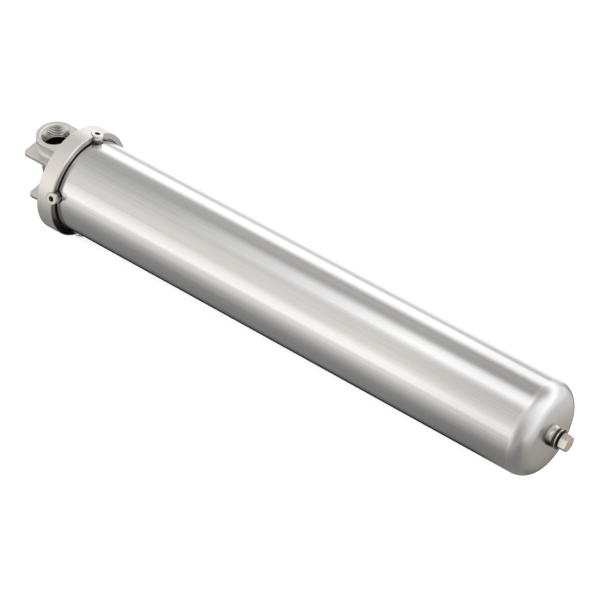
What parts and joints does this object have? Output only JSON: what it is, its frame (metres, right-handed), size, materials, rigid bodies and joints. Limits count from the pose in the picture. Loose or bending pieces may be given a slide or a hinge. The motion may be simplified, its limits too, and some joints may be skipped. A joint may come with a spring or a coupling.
{
  "type": "water filter housing",
  "caption": "Long stainless steel cartridge filter housing: cast head with two threaded ports, union lock ring held by screws, polished tube bowl with a dished end and a drain plug.",
  "frame": {"origin": "centre of the inlet port's face", "axes": "+X along the bowl from the head to the drain plug, +Z out of the inlet port along the line of both ports, +Y to the side; the housing lies on its side"},
  "size_m": [0.6785, 0.119, 0.119],
  "materials": {
    "cast_steel": "cast stainless steel, blasted, satin",
    "turned_steel": "turned stainless steel, satin with bright edges",
    "polished_steel": "stainless steel tube polished lengthwise, bright",
    "pressed_steel": "pressed stainless steel, smooth satin",
    "screw_steel": "bright stainless steel fastener",
    "spring_steel": "drawn stainless spring wire",
    "seal_rubber": "black rubber, matt"
  },
  "bodies": {
    "head": {"head_casting": "cast_steel", "top_seat": "turned_steel", "top_seat_seal": "seal_rubber"},
    "bowl_seal": {"bowl_seal": "seal_rubber"},
    "bowl": {"bowl_collar": "turned_steel", "bowl_tube": "polished_steel", "bowl_dome": "pressed_steel", "drain_boss": "turned_steel", "lock_ring": "turned_steel", "spring_guide": "turned_steel", "cartridge_spring": "spring_steel"},
    "drain_seal": {"drain_seal": "seal_rubber"},
    "drain_plug": {"drain_plug": "screw_steel"},
    "vent_seal": {"vent_seal": "seal_rubber"},
    "vent_plug": {"vent_plug": "screw_steel"},
    "bottom_seat": {"bottom_seat": "turned_steel"},
    "lock_screw_1": {"lock_screw_1": "screw_steel"},
    "lock_screw_2": {"lock_screw_2": "screw_steel"},
    "lock_screw_3": {"lock_screw_3": "screw_steel"},
    "lock_screw_4": {"lock_screw_4": "screw_steel"}
  },
  "joints": [
    {"name": "bowl_travel", "type": "slide", "parent": "head", "child": "bowl_seal", "axis": [1, 0, 0], "range_m": [0, 0.009]},
    {"name": "bowl_turn", "type": "hinge", "parent": "bowl_seal", "child": "bowl", "pos_m": [0.03, 0, -0.049], "axis": [1, 0, 0], "range_deg": [0, 1620]},
    {"name": "drain_travel", "type": "slide", "parent": "bowl", "child": "drain_seal", "axis": [1, 0, 0], "range_m": [0, 0.01203]},
    {"name": "drain_turn", "type": "hinge", "parent": "drain_seal", "child": "drain_plug", "pos_m": [0.643, 0, -0.049], "axis": [1, 0, 0], "range_deg": [0, 3240]},
    {"name": "vent_travel", "type": "slide", "parent": "head", "child": "vent_seal", "axis": [-1, 0, 0], "range_m": [0, 0.00635]},
    {"name": "vent_turn", "type": "hinge", "parent": "vent_seal", "child": "vent_plug", "pos_m": [0.0183, 0.038, -0.049], "axis": [-1, 0, 0], "range_deg": [0, 2520]},
    {"name": "bottom_seat_travel", "type": "slide", "parent": "bowl", "child": "bottom_seat", "axis": [1, 0, 0], "range_m": [0, 0.015], "stiffness_N_per_m": 4000, "deforming": ["cartridge_spring"]},
    {"name": "lock_screw_1_travel", "type": "slide", "parent": "bowl", "child": "lock_screw_1", "axis": [0, 0.3551, 0.9348], "range_m": [0, 0.006]},
    {"name": "lock_screw_2_travel", "type": "slide", "parent": "bowl", "child": "lock_screw_2", "axis": [0, -0.9348, 0.3551], "range_m": [0, 0.006]},
    {"name": "lock_screw_3_travel", "type": "slide", "parent": "bowl", "child": "lock_screw_3", "axis": [0, -0.3551, -0.9348], "range_m": [0, 0.006]},
    {"name": "lock_screw_4_travel", "type": "slide", "parent": "bowl", "child": "lock_screw_4", "axis": [0, 0.9348, -0.3551], "range_m": [0, 0.006]}
  ],
  "couplings": [
    {"joint": "bowl_turn", "follows": "bowl_travel", "rad_per_m": 3141.6},
    {"joint": "drain_turn", "follows": "drain_travel", "rad_per_m": 4699.5},
    {"joint": "vent_turn", "follows": "vent_travel", "rad_per_m": 6927.4}
  ]
}
